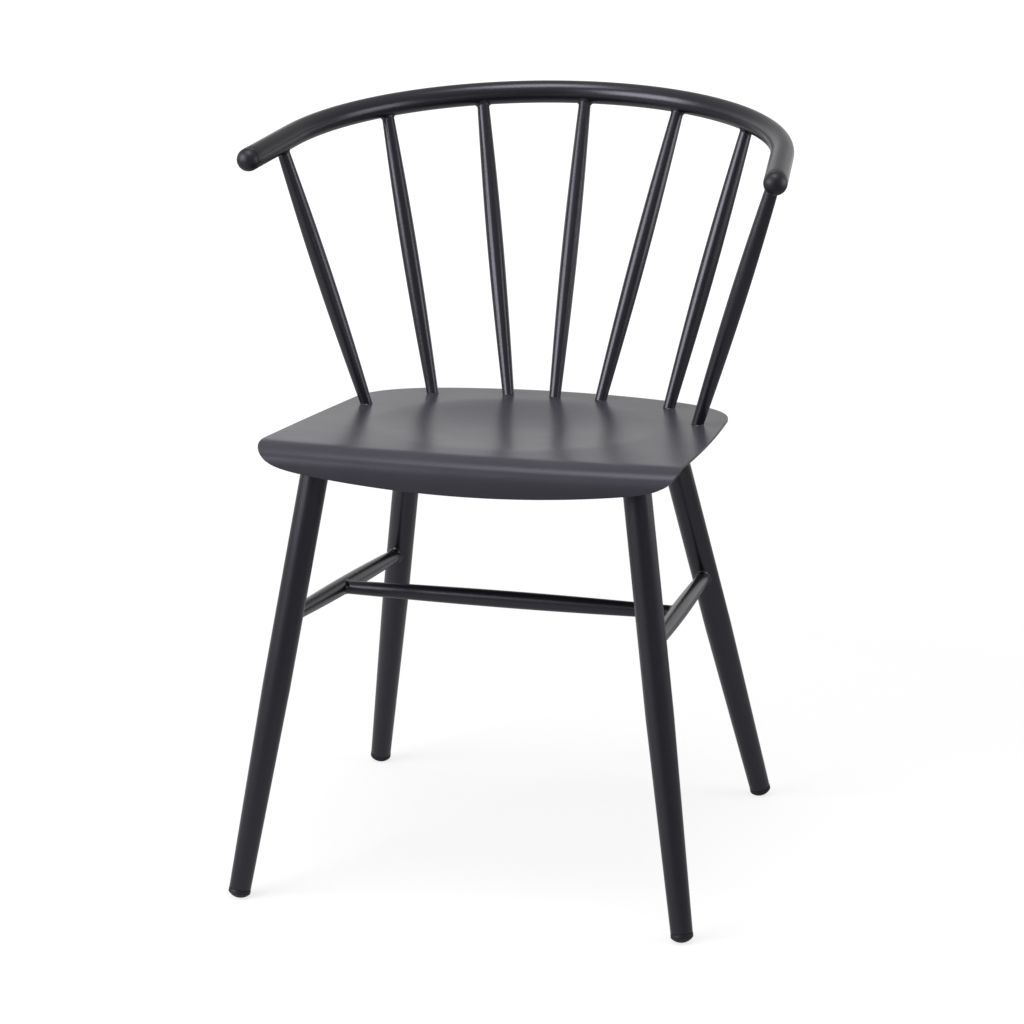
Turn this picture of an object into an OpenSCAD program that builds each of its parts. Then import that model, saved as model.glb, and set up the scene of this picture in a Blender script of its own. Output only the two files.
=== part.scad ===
// Metal dining chair: a welded tubular base with an H stretcher, a pressed
// sheet seat with a waterfall front, and a bent bow carried by seven spindles.
// The front of the chair faces -Y, and Z is zero at the floor.

/* [Legs] */
// Sideways distance from the middle to the axis of a front foot
front_foot_x = 227; // [205:0.1:245]
// Place of the front feet, from the middle of the chair's depth
front_foot_y = -252.2; // [-265:0.1:-238]
// Sideways distance from the middle to the axis of a back foot
back_foot_x = 216.6; // [195:0.1:235]
// Place of the back feet
back_foot_y = 190.1; // [175:0.1:213]
// Sideways distance of a front leg's axis where it reaches the seat
front_top_x = 158.8; // [145:0.1:170]
// Place of the front legs' axes where they reach the seat
front_top_y = -183.5; // [-189:0.1:-162]
// Sideways distance of a back leg's axis where it reaches the seat
back_top_x = 133.1; // [120:0.1:145]
// Place of the back legs' axes where they reach the seat
back_top_y = 53.6; // [38:0.1:68]
// Outer diameter of the leg tube above its taper
leg_d = 27.8; // [22:0.1:32]
// Outer diameter of the leg tube at the foot
foot_d = 21.8; // [17:0.1:23]
// Length of the tapered part of a leg
leg_taper = 208; // [120:1:240]
// Wall of the leg tube
leg_wall = 1.5; // [1:0.1:3]

/* [Glides] */
// Radius of a glide's domed sole
glide_dome_r = 14; // [12:0.5:18]
// Depth by which the sole is worn flat
glide_flat = 0.6; // [0.3:0.1:1.5]
// Distance from the dome's centre down to the end of the leg tube
glide_seam = 4; // [2:0.5:6]
// Extra width of a glide over the end of the leg tube
glide_lip = 0.4; // [0:0.1:1]
// Length of the glide's plug inside the leg tube
glide_plug = 18; // [10:1:30]

/* [Stretchers] */
// Height of the side stretchers' axes at the front legs
stretcher_front_z = 282.4; // [220:0.1:330]
// Height of the side stretchers' axes at the back legs
stretcher_back_z = 264.2; // [200:0.1:330]
// Place of the cross stretcher along the side stretchers, from the front
cross_place = 0.455; // [0.3:0.005:0.7]
// Diameter of a stretcher at its middle
stretcher_d = 17.6; // [15:0.1:22]
// Diameter of a stretcher at its ends
stretcher_end_d = 13.4; // [10:0.1:14.5]
// Wall of the stretcher tube
stretcher_wall = 1.5; // [1:0.1:3]

/* [Seat] */
// Height of the seat's top at the middle of the chair's depth
seat_z = 448.8; // [430:0.1:470]
// Angle by which the seat falls towards the back
seat_pitch = 3; // [1:0.1:5]
// Rise of the seat's curve at 200 mm from its middle
seat_sag = 1.8; // [0.5:0.1:4]
// Largest half width of the seat, at its nose
seat_half_w = 210; // [205:0.5:230]
// Amount by which each side draws in towards the back
seat_draw = 9.9; // [4:0.1:20]
// Place of the seat's back edge on the middle line
seat_back_y = 156; // [148:0.5:173]
// Depth of the back edge's curve
seat_back_bow = 41; // [30:1:60]
// Thickness of the pressed sheet
sheet_t = 3; // [2:0.1:4]
// Half width of the dish
dish_half_w = 146; // [110:1:150]
// Half length of the dish
dish_half_l = 144; // [110:1:150]
// Place of the dish's middle
dish_y = -38; // [-52:0.5:-22]
// Depth of the dish
dish_depth = 8; // [3:0.5:10]

/* [Seat nose] */
// Place where the seat starts to roll over at the front
nose_y = -203.5; // [-209:0.5:-195]
// Radius of the soft shoulder
shoulder_r = 36; // [25:1:45]
// Angle to which the soft shoulder turns down
shoulder_turn = 30; // [20:1:45]
// Radius of the nose
nose_r = 17; // [9:0.5:18]
// Angle of the skirt below the nose, from level
skirt_turn = 104; // [85:1:110]
// Length of sheet from the start of the roll to the skirt's lower edge
skirt_len = 56.6; // [50:0.1:65]
// Amount by which the skirt's lower edge rises towards its corners
skirt_rise = 18.3; // [8:0.1:24]
// Depth by which the middle of the nose lies lower than its corners
nose_dip = 2.4; // [0:0.1:4]

/* [Seat rails] */
// Width of the flat rails that carry the seat
rail_w = 24; // [18:1:28]
// Thickness of the rails
rail_t = 6; // [4:0.5:8]
// Length by which a rail runs on past a leg's axis
rail_over = 15; // [14:0.5:16]
// Distance from a leg's axis to the nearest seat stud along a rail
stud_inset = 45; // [30:1:70]
// Diameter of the seat studs
stud_d = 6; // [5:0.5:8]
// Length of a seat stud below the rail's top
stud_len = 14; // [13:0.5:20]
// Width across the flats of the seat nuts
nut_af = 10; // [9:0.5:13]
// Height of the seat nuts with their flange
nut_h = 5.5; // [4.5:0.5:7]

/* [Bow] */
// Height of the bow's axis at its back
bow_z = 746.9; // [700:0.1:800]
// Place of the bow's axis at its back
bow_y = 250.6; // [238:0.1:265]
// Angle by which the bow falls towards its ends
bow_pitch = 6.2; // [3:0.1:9]
// Radius of the bow's bend
bow_r = 256.9; // [245:0.1:262]
// Half angle of the bend
bow_turn = 82.6; // [80:0.1:84]
// Length of the straight end of each arm
arm_len = 97.5; // [80:0.5:120]
// Outer diameter of the bow tube
bow_d = 23.8; // [20:0.1:30]
// Wall of the bow tube
bow_wall = 2; // [1.2:0.1:3]
// Length of a cap's plug inside the bow tube
cap_plug = 14; // [8:1:25]

/* [Spindles] */
// Diameter of a spindle at its belly
spindle_d = 17.4; // [15:0.1:20]
// Diameter of a spindle at its ends
spindle_end_d = 12.2; // [10:0.1:14]
// Wall of the spindle tube
spindle_wall = 1.5; // [1:0.1:3]
// Place of the middle spindle's base
centre_base_y = 123.8; // [113:0.1:131]
// Sideways place of the inner spindles' bases
inner_base_x = 50; // [35:0.5:70]
// Place of the inner spindles' bases
inner_base_y = 121.6; // [108:0.1:127]
// Sideways place of the outer spindles' bases
outer_base_x = 127.6; // [110:0.1:135]
// Place of the outer spindles' bases
outer_base_y = 102.7; // [83:0.1:108]
// Sideways place of the arm spindles' bases
arm_base_x = 175.2; // [165:0.1:182]
// Place of the arm spindles' bases
arm_base_y = 22.1; // [3:0.1:38]
// Distance along the bow from its back to the inner spindles
inner_arc = 111.3; // [80:0.1:140]
// Distance along the bow from its back to the outer spindles
outer_arc = 221; // [190:0.5:260]
// Distance along the bow from its back to the arm spindles
arm_arc = 397; // [380:0.5:420]

/* [Clearances] */
// Gap left for the weld where two tubes meet
weld_gap = 0.2; // [0.1:0.05:0.4]
// Gap between a plug and its tube
plug_gap = 0.15; // [0.1:0.05:0.3]
// Gap between a rail and the sheet above it
seat_gap = 0.3; // [0.2:0.1:0.6]
// Gap between a stud and the hole that it passes through
stud_gap = 0.3; // [0.2:0.1:0.6]
// Gap between a stud and its nut
nut_gap = 0.1; // [0.05:0.05:0.2]

/* [Hidden] */

left = -1;
right = 1;
coat = [0.15, 0.15, 0.16];
plastic = [0.08, 0.08, 0.09];
steel = [0.62, 0.63, 0.65];

// Smoothness of the round faces
round_fn = 64;
// Straight pieces that follow the swell of a spindle or stretcher
swell_steps = 12;
// Length by which a cutting tool runs on past what it cuts
overrun = 30;
// Width of the blocks that trim the tops of the legs and the soles of the glides
block_w = 3 * seat_half_w;
// Length by which a spindle runs on below the seat's top before it is trimmed
foot_run = 6;
// Distance at which the seat's curve has risen by seat_sag
sag_at = 200;
// Place in front of the nose from which the sides start to draw in
draw_start_y = -223;
// Distance over which the sides draw in by seat_draw
draw_len = 260;
// Size and sharpness of the seat's back corners
back_corner = 54;
back_corner_n = 8;
// Size and sharpness of the skirt's corners
skirt_corner = 28;
skirt_corner_n = 18;
// Place where the nose starts to dip, and the distance over which it reaches its full depth
dip_start_y = -80;
dip_len = 120;
// How softly the dish runs out into the rim
dish_fade = 1.5;
// Columns and rows of the seat's surface
seat_cols = 40;
seat_top_rows = 18;
seat_nose_rows = 15;
// Least length of sheet that the nose's rows cover at the seat's sides
nose_rows_len = 8;
// Thickness and extra width of a nut's flange
nut_flange_t = 1.2;
nut_flange_w = 2;

function unit(v) = v / norm(v);
function mix(a, b, t) = a + (b - a) * t;

// Leg axes, from the floor to the height at which they reach the seat
function foot_at(side, front) =
    front ? [side * front_foot_x, front_foot_y, 0] : [side * back_foot_x, back_foot_y, 0];
function top_at(side, front) =
    front ? [side * front_top_x, front_top_y, seat_z] : [side * back_top_x, back_top_y, seat_z];
function on_leg(side, front, z) = mix(foot_at(side, front), top_at(side, front), z / seat_z);
function stretcher_end(side, front) = on_leg(side, front, front ? stretcher_front_z : stretcher_back_z);
function cross_end(side) = mix(stretcher_end(side, true), stretcher_end(side, false), cross_place);
function stretcher_len(side) = norm(stretcher_end(side, true) - stretcher_end(side, false));

// Diameter of a swelled tube at a share of its length
function swell(end_d, belly_d, t) = end_d + (belly_d - end_d) * sin(180 * t);

// The seat's top surface without its dish, and its fall at a place
function seat_top(y) = seat_z - y * tan(seat_pitch) + seat_sag * pow(y / sag_at, 2);
function seat_fall(y) = atan(tan(seat_pitch) - 2 * seat_sag * y / pow(sag_at, 2));
function dish(x, y) =
    dish_depth * pow(max(0, 1 - pow(x / dish_half_w, 2) - pow((y - dish_y) / dish_half_l, 2)), dish_fade);
function half_w(y) = seat_half_w - seat_draw * pow(max(0, y - draw_start_y) / draw_len, 2);

// The nose: sheet lengths and points of its shoulder, its roll and its skirt
nose_start_turn = -seat_fall(nose_y);
shoulder_len = shoulder_r * (shoulder_turn - nose_start_turn) * PI / 180;
roll_len = nose_r * (skirt_turn - shoulder_turn) * PI / 180;
function arc_step(r, a, b) = [-r * (sin(b) - sin(a)), -r * (cos(a) - cos(b))];
function nose_turn(s) =
    s < shoulder_len ? nose_start_turn + s / shoulder_r * 180 / PI :
    s < shoulder_len + roll_len ? shoulder_turn + (s - shoulder_len) / nose_r * 180 / PI : skirt_turn;
function nose_point(s) =
    [nose_y, seat_top(nose_y)] + arc_step(shoulder_r, nose_start_turn, min(nose_turn(s), shoulder_turn))
    + arc_step(nose_r, shoulder_turn, max(shoulder_turn, nose_turn(s)))
    + max(0, s - shoulder_len - roll_len) * [-cos(skirt_turn), -sin(skirt_turn)];

// Sheet coordinate: negative on the seat's top, positive past the start of the nose
function sheet_yz(s) = s < 0 ? [nose_y - s, seat_top(nose_y - s)] : nose_point(s);
function sheet_turn(s) = s < 0 ? -seat_fall(nose_y - s) : nose_turn(s);
function corner(size, n, w) = size * (1 - sqrt(max(0, 1 - pow(abs(w), n))));
function back_edge(w) =
    nose_y - (seat_back_y - seat_back_bow * w * w - corner(back_corner, back_corner_n, w));
function front_edge(w) = skirt_len - skirt_rise * w * w - corner(skirt_corner, skirt_corner_n, w);
function split_at(w) = min(0, front_edge(w) - nose_rows_len);
function sheet_at(w, j) =
    j < seat_top_rows ? mix(back_edge(w), split_at(w), j / seat_top_rows)
    : mix(split_at(w), front_edge(w), (j - seat_top_rows) / seat_nose_rows);
function dip_at(w, y) = nose_dip * (1 - w * w) * pow(min(1, max(0, dip_start_y - y) / dip_len), 2);
// A point of the sheet, at a depth below its top surface
function sheet_point(w, s, depth) =
    let (yz = sheet_yz(s), turn = sheet_turn(s), x = w * half_w(yz[0]))
    [x, yz[0] + depth * sin(turn), yz[1] - dish(x, yz[0]) - dip_at(w, yz[0]) - depth * cos(turn)];

// Rails: they lie just below the sheet, on a plane that clears the dish and the nose's dip at their inner edges
rail_mid_y = (front_top_y + back_top_y) / 2;
rail_fall = seat_fall(rail_mid_y);
rail_inner_x = mix(front_top_x, back_top_x, (dish_y - front_top_y) / (back_top_y - front_top_y)) - rail_w / 2;
function rail_line(y) = seat_top(rail_mid_y) - (y - rail_mid_y) * tan(rail_fall);
rail_front_y = front_top_y - rail_over;
rail_front_w = (front_top_x - rail_w / 2) / half_w(rail_front_y);
dip_at_rail = dip_at(rail_front_w, rail_front_y) - seat_top(rail_front_y) + rail_line(rail_front_y);
rail_drop = (sheet_t + seat_gap) / cos(rail_fall) + max(dish(rail_inner_x, dish_y), dip_at_rail);
function rail_z(y) = rail_line(y) - rail_drop;
function rail_hit(side, front) =
    let (foot = foot_at(side, front), run = top_at(side, front) - foot)
    foot + run * (rail_z(foot[1]) / (run[2] + run[1] * tan(rail_fall)));
function rail_run(side) = unit(rail_hit(side, false) - rail_hit(side, true));
rail_up = [0, sin(rail_fall), cos(rail_fall)];
function stud_places(side) = [
    rail_hit(side, true) + rail_run(side) * stud_inset,
    rail_hit(side, false) - rail_run(side) * stud_inset
];

// Bow: points of its axis at a distance along it from its back
bend_len = bow_r * bow_turn * PI / 180;
bow_len = bend_len + arm_len;
function bow_flat(s) =
    let (a = min(s / bow_r * 180 / PI, bow_turn), rest = max(0, s - bend_len))
    [bow_r * sin(a) + rest * cos(bow_turn), -bow_r * (1 - cos(a)) - rest * sin(bow_turn)];
function bow_point(side, s) =
    let (p = bow_flat(s))
    [side * p[0], bow_y + p[1] * cos(bow_pitch), bow_z + p[1] * sin(bow_pitch)];

// Spindles from left to right: base on the seat, and top on the bow's axis
function on_seat(x, y) = [x, y, seat_top(y) - dish(x, y)];
function spindle_side(i) = i < 4 ? left : right;
function spindle_rank(i) = abs(i - 4);
function spindle_base(i) =
    let (r = spindle_rank(i), side = spindle_side(i))
    r == 0 ? on_seat(0, centre_base_y) :
    r == 1 ? on_seat(side * inner_base_x, inner_base_y) :
    r == 2 ? on_seat(side * outer_base_x, outer_base_y) : on_seat(side * arm_base_x, arm_base_y);
function spindle_top(i) =
    let (r = spindle_rank(i))
    bow_point(spindle_side(i), r == 0 ? 0 : r == 1 ? inner_arc : r == 2 ? outer_arc : arm_arc);

// Turns its children's Z axis to run from one point to another
module along(a, b) {
    v = b - a;
    translate(a) rotate([0, acos(v[2] / norm(v)), atan2(v[1], v[0])]) children();
}

// A tube that swells towards its middle
module swelled_tube(a, b, end_d, belly_d, wall) {
    shares = [for (i = [0 : swell_steps]) i / swell_steps];
    outer = [for (t = shares) [swell(end_d, belly_d, t) / 2, t * norm(b - a)]];
    inner = [for (i = [swell_steps : -1 : 0]) outer[i] - [wall, 0]];
    along(a, b) rotate_extrude($fn = round_fn) polygon(concat(outer, inner));
}

// The half space above the rails' underside, which trims the leg tops
module above_rails() {
    translate([0, rail_mid_y, rail_z(rail_mid_y)]) rotate([-rail_fall, 0, 0])
        translate([-block_w / 2, -block_w / 2, -rail_t - weld_gap]) cube(block_w);
}

module seat_shell() {
    rows = seat_top_rows + seat_nose_rows;
    layer = (seat_cols + 1) * (rows + 1);
    grid = [for (depth = [0, sheet_t], i = [0 : seat_cols], j = [0 : rows])
        let (w = sin(mix(-90, 90, i / seat_cols))) sheet_point(w, sheet_at(w, j), depth)];
    function at(i, j, under) = i * (rows + 1) + j + under * layer;
    top_faces = [for (i = [0 : seat_cols - 1], j = [0 : rows - 1], half = [0, 1])
        half == 0 ? [at(i, j, 0), at(i + 1, j, 0), at(i, j + 1, 0)]
        : [at(i + 1, j, 0), at(i + 1, j + 1, 0), at(i, j + 1, 0)]];
    under_faces = [for (f = top_faces) [f[2] + layer, f[1] + layer, f[0] + layer]];
    rim = concat(
        [for (j = [0 : rows - 1]) at(0, j, 0)], [for (i = [0 : seat_cols - 1]) at(i, rows, 0)],
        [for (j = [rows : -1 : 1]) at(seat_cols, j, 0)], [for (i = [seat_cols : -1 : 1]) at(i, 0, 0)]);
    rim_faces = [for (k = [0 : len(rim) - 1], half = [0, 1])
        let (a = rim[k], b = rim[(k + 1) % len(rim)])
        half == 0 ? [a, b, a + layer] : [b, b + layer, a + layer]];
    color(coat) polyhedron(points = grid, faces = concat(top_faces, under_faces, rim_faces), convexity = 6);
}

// A rail's own frame: X across it, Y along it, Z up from its top face
module on_rail(side, at) {
    run = rail_run(side);
    across = cross(run, rail_up);
    multmatrix([
        [across[0], run[0], rail_up[0], at[0]],
        [across[1], run[1], rail_up[1], at[1]],
        [across[2], run[2], rail_up[2], at[2]],
        [0, 0, 0, 1]
    ]) children();
}

module seat_rail(side) {
    start = rail_hit(side, true);
    span = norm(rail_hit(side, false) - start);
    color(coat) difference() {
        on_rail(side, start) translate([-rail_w / 2, -rail_over, -rail_t])
            cube([rail_w, span + 2 * rail_over, rail_t]);
        for (p = stud_places(side)) on_rail(side, p)
            translate([0, 0, -rail_t - 1])
                cylinder(h = rail_t + 2, d = stud_d + 2 * stud_gap, $fn = round_fn);
    }
}

// Height of the sheet's underside above the rail's top face at a stud
function stud_rise(p) = seat_top(p[1]) - dish(p[0], p[1]) - sheet_t / cos(seat_fall(p[1])) - rail_z(p[1]);

module seat_studs() {
    color(steel) for (side = [left, right], p = stud_places(side)) on_rail(side, p)
        translate([0, 0, -stud_len])
            cylinder(h = stud_len + stud_rise(p) - weld_gap, d = stud_d, $fn = round_fn);
}

module seat_nuts() {
    corner_d = nut_af / cos(30);
    color(steel) for (side = [left, right], p = stud_places(side)) on_rail(side, p)
        translate([0, 0, -rail_t - nut_h]) difference() {
            union() {
                cylinder(h = nut_h, d = corner_d, $fn = 6);
                translate([0, 0, nut_h - nut_flange_t])
                    cylinder(h = nut_flange_t, d = corner_d + nut_flange_w, $fn = round_fn);
            }
            translate([0, 0, -1]) cylinder(h = nut_h + 2, d = stud_d + 2 * nut_gap, $fn = round_fn);
        }
}

// Length along a leg's axis for a rise in height
function leg_step(side, front, z) = z * norm(top_at(side, front) - foot_at(side, front)) / seat_z;
function glide_centre(side, front) = on_leg(side, front, glide_dome_r - glide_flat);

module leg(side, front) {
    bottom = -glide_seam;
    run = leg_step(side, front, seat_z + overrun);
    color(coat) difference() {
        along(glide_centre(side, front), top_at(side, front)) rotate_extrude($fn = round_fn) polygon([
            [foot_d / 2 - leg_wall, bottom], [foot_d / 2, bottom],
            [leg_d / 2, bottom + leg_taper], [leg_d / 2, run],
            [leg_d / 2 - leg_wall, run], [leg_d / 2 - leg_wall, bottom + leg_taper]
        ]);
        above_rails();
    }
}

module glide(side, front) {
    head_r = foot_d / 2 + glide_lip / 2;
    plug_r = foot_d / 2 - leg_wall - plug_gap;
    color(plastic) difference() {
        along(glide_centre(side, front), top_at(side, front)) union() {
            intersection() {
                sphere(r = glide_dome_r, $fn = round_fn);
                translate([0, 0, -glide_dome_r])
                    cylinder(h = glide_dome_r - glide_seam, r = head_r, $fn = round_fn);
            }
            translate([0, 0, -glide_seam]) cylinder(h = glide_plug, r = plug_r, $fn = round_fn);
        }
        translate([-block_w / 2, -block_w / 2, -overrun]) cube([block_w, block_w, overrun]);
    }
}

// A round cutter around a tube's axis, wider by the gap for the weld
module tube_cutter(a, b, d) {
    along(a, b) cylinder(h = norm(b - a), d = d + 2 * weld_gap, $fn = round_fn);
}

module side_stretcher(side) {
    a = stretcher_end(side, true);
    b = stretcher_end(side, false);
    color(coat) difference() {
        swelled_tube(a, b, stretcher_end_d, stretcher_d, stretcher_wall);
        for (front = [true, false]) tube_cutter(foot_at(side, front), top_at(side, front), leg_d);
    }
}

module cross_stretcher() {
    a = cross_end(left);
    b = cross_end(right);
    mate_d = swell(stretcher_end_d, stretcher_d, cross_place);
    color(coat) difference() {
        swelled_tube(a, b, stretcher_end_d, stretcher_d, stretcher_wall);
        for (side = [left, right]) tube_cutter(stretcher_end(side, true), stretcher_end(side, false), mate_d);
    }
}

// Puts its children in the bow's sloping plane, with the back of its axis at the origin
module in_bow_plane() {
    translate([0, bow_y, bow_z]) rotate([bow_pitch, 0, 0]) children();
}

// The bow's bend and its straight arms as solid bars, each set out from one end of the bend
module from_bend_end(side) {
    in_bow_plane() mirror([side == left ? 1 : 0, 0, 0])
        translate([0, -bow_r, 0]) rotate([0, 0, 90 - bow_turn]) children();
}

module bend(d) {
    from_bend_end(right) rotate_extrude(angle = 2 * bow_turn, $fn = 2 * round_fn)
        translate([bow_r, 0]) circle(d = d, $fn = round_fn);
}

module straight_arm(side, d) {
    from_bend_end(side) translate([bow_r, 0, 0]) rotate([90, 0, 0])
        cylinder(h = arm_len, d = d, $fn = round_fn);
}

module bow_bar(d) {
    bend(d);
    for (side = [left, right]) straight_arm(side, d);
}

module bow_tube() {
    color(coat) difference() {
        union() bow_bar(bow_d);
        union() bow_bar(bow_d - 2 * bow_wall);
    }
}

module bow_cap(side) {
    inside = bow_point(side, bend_len);
    end = bow_point(side, bow_len);
    plug_r = bow_d / 2 - bow_wall - plug_gap;
    color(plastic) along(end, end + (end - inside)) union() {
        translate([0, 0, weld_gap]) difference() {
            sphere(d = bow_d, $fn = round_fn);
            translate([-bow_d, -bow_d, -2 * bow_d]) cube([2 * bow_d, 2 * bow_d, 2 * bow_d]);
        }
        translate([0, 0, -cap_plug]) cylinder(h = cap_plug + 1, r = plug_r, $fn = round_fn);
    }
}

module spindle(i) {
    base = spindle_base(i);
    top = spindle_top(i);
    color(coat) difference() {
        swelled_tube(base - foot_run * unit(top - base), top, spindle_end_d, spindle_d, spindle_wall);
        if (spindle_rank(i) < 3) bend(bow_d + 2 * weld_gap);
        else straight_arm(spindle_side(i), bow_d + 2 * weld_gap);
        // The sheet's top at the base, which trims the tube's foot
        translate(base) rotate([-seat_fall(base[1]), 0, 0])
            translate([-overrun, -overrun, weld_gap - 2 * overrun]) cube(2 * overrun);
    }
}

seat_shell();
seat_rail(left);  // seat_rail_left
seat_rail(right);  // seat_rail_right
seat_studs();
seat_nuts();
leg(left, true);  // leg_front_left
leg(right, true);  // leg_front_right
leg(left, false);  // leg_back_left
leg(right, false);  // leg_back_right
glide(left, true);  // glide_front_left
glide(right, true);  // glide_front_right
glide(left, false);  // glide_back_left
glide(right, false);  // glide_back_right
side_stretcher(left);  // side_stretcher_left
side_stretcher(right);  // side_stretcher_right
cross_stretcher();
bow_tube();
bow_cap(left);  // bow_cap_left
bow_cap(right);  // bow_cap_right
spindle(1);  // spindle_1
spindle(2);  // spindle_2
spindle(3);  // spindle_3
spindle(4);  // spindle_4
spindle(5);  // spindle_5
spindle(6);  // spindle_6
spindle(7);  // spindle_7
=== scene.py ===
"""Metal dining chair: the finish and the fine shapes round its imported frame."""

import math

import bpy
from bpy.props import FloatProperty, FloatVectorProperty, PointerProperty
from mathutils import Matrix, Vector


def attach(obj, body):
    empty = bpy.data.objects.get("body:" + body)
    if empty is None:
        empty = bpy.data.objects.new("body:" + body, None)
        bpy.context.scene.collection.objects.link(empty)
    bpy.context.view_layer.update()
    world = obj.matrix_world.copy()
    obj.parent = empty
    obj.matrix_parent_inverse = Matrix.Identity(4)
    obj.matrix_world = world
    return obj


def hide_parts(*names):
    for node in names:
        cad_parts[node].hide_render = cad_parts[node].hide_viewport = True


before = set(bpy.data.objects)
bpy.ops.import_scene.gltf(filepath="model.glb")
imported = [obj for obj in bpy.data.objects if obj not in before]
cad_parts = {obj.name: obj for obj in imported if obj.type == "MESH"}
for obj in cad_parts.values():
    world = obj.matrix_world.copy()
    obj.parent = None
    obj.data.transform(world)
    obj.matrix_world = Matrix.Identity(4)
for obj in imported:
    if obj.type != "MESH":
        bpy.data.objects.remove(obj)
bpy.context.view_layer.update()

bl_info = {
    "name": "Metal Dining Chair",
    "version": (1, 0, 0),
    "blender": (4, 5, 0),
    "location": "3D View > Sidebar > Chair",
    "description": "Models a welded metal chair with a pressed seat and a spindle back",
    "category": "Add Mesh",
}

LEFT, RIGHT = -1, 1
MM = 0.001

# Places of the tubes' axes on the right side, in millimetres
FEET = {"front": (227, -252.2), "back": (216.6, 190.1)}
LEG_TOPS = {"front": (158.8, -183.5), "back": (133.1, 53.6)}
STRETCHER_Z = {"front": 282.4, "back": 264.2}
SPINDLE_BASES = [(0, 123.8), (50, 121.6), (127.6, 102.7), (175.2, 22.1)]
SPINDLE_RUNS = [0, 111.3, 221, 397]
CROSS_PLACE = 0.455  # share of the side stretchers' length at which the cross stretcher meets them

# Shape of the sheet
SAG_REACH = 0.2  # distance from the middle at which the seat's sag is measured
DRAW_START, DRAW_REACH = -0.223, 0.26  # where the draw-in starts, and how far on it reaches seat_draw
DIP_START, DIP_REACH = -0.08, 0.12  # where the nose's dip starts, and how far in front of that it is full
FRONT_CORNER, FRONT_SQUARE = 0.028, 18  # length that a skirt corner cuts off, and how square the corner is
BACK_CORNER, BACK_SQUARE = 0.054, 8
NOSE_EDGE = 0.008  # least length of the dense rows at the nose
SEAT_COLUMNS, TOP_ROWS, NOSE_ROWS = 104, 52, 44
SOFT_STEPS = 4  # steps to each side over which the nose's bends are averaged

# Density and fit of the round pieces
TUBE_SIDES, TUBE_RINGS = 40, 28
BOW_SIDES, BEND_STEPS, ARM_STEPS = 56, 132, 8
PLUG_SIDES, CAP_STEPS, DOME_STEPS = 56, 16, 17
BOW_EASE, BOW_RIM = 0.02 * MM, 0.55 * MM  # play that keeps the bow within its box, and its ends' rounding
BEND_CHECK = 0.5 * MM  # largest distance of the bow's top from its place
RAIL_GAP, RAIL_EASE = 0.3 * MM, 0.12 * MM  # gap under the sheet, and what clears the nose's dip
WALL_SHARE = 0.6  # how far a tube's end reaches into the wall of the tube that it meets
SPINDLE_SINK = 1.2 * MM  # depth of a spindle's foot in the sheet
CROSS_INSET = 7.6 * MM  # distance of the cross stretcher's end from the side stretcher's axis
PLUG_PLAY, PLUG_LEN = 0.15 * MM, 14 * MM  # gap round a plug inside its tube, and the plug's length
NECK_DEPTH = 1.1 * MM  # depth of the groove between a plug's head and its tube
CAP_POLE, DOME_POLE = 0.25 * MM, 0.3 * MM  # radius of the small flat that closes a ball or a dome
DOME_Z, GLIDE_LIP = 13.4 * MM, 0.19 * MM  # height of a dome's centre, and how far its head stands out
SOLE_Z = 0.001 * MM  # height at which the domes are cut flat

# Weld beads
BEAD_TURNS, BEAD_SECTION = 66, 12  # points round a bead, and round its section
BEAD_REACH, BEAD_TRIES = 60 * MM, 40  # length of tube searched for the surface, and halvings of it
RIPPLES, RIPPLE_SHARE = 22, 0.035  # ripples round a bead, and their share of its size
BEAD_SINK, BEAD_ROOT = 0.25 * MM, 0.7 * MM  # depth of a bead's toes and of its root below the surfaces
BEAD_FULLNESS = 0.18  # share of the way from root to toes at which a bead's face has its knee
FOOT_SKIP = 6 * MM  # tube added below a spindle's foot, so that the search starts under the sheet
SLOPE_STEP = 0.02 * MM

# Noises of the finishes: features to the metre, and layers of detail
COAT_CLOUDS, PLASTIC_CLOUDS, ZINC_CLOUDS = (20, 2), (90, 2), (260, 4)
PLASTIC_GRAIN, ZINC_GRAIN = (4000, 1), (3000, 2)
NOISE_SPAN = (0.3, 0.7)  # range in which most of a noise's values lie

# Stage: where a light changes (metres on the floor, parts of a heading in the room), and from what to what
FLOOR_SIZE = 60
GLOW_REACH, FEET_REACH, FEET_GLOW = (0.8, 3), (0.4, 2), 0.3
FLOOR_SIDES = (-1, 0.5), (0.15, -0.12)
FLOOR_BACK, FLOOR_RIGHT = ((1.2, 4.5), (0, 0.85)), ((2, 5), (0, 1))
CEILING_RISE, OVERHEAD_RISE, OVERHEAD = (0.1, 0.5), (0.2, 0.85), 0.5
LOW_WALL, BACK_WALL, RIGHT_WALL = ((0, 0.17), (0.62, 1)), ((-0.15, 0.45), (0, 1)), ((-0.07, 0.05), (1, 0.75))
LAMPS_AIM = Vector((0, 0, 0.65))

# Lamps: name, direction from the point that they look at, distance, width, height and power
LAMPS = (
    ("Key_softbox", (-0.04, -0.20, 0.97), 2.6, 1.4, 1.3, 34),
    ("Left_softbox", (-0.74, -0.655, 0.33), 2.4, 1.9, 1.4, 52),
    ("Right_softbox", (1.15, 0.1, 0.2), 1.17, 0.7, 0.6, 4.5),
)


# Settings that the panel shows

def length(name, default, description):
    """A length in metres, shown in the scene's unit."""
    return FloatProperty(name=name, description=description, default=default, unit="LENGTH", precision=5)


def angle(name, degrees, description):
    """An angle, written here in degrees."""
    return FloatProperty(name=name, description=description, default=math.radians(degrees), subtype="ANGLE")


def share(name, default, description):
    """A share of the whole."""
    return FloatProperty(name=name, description=description, default=default, min=0, max=1, subtype="FACTOR")


def strength(name, default, description):
    """A strength of light, where 1 is white."""
    return FloatProperty(name=name, description=description, default=default, min=0)


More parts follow.
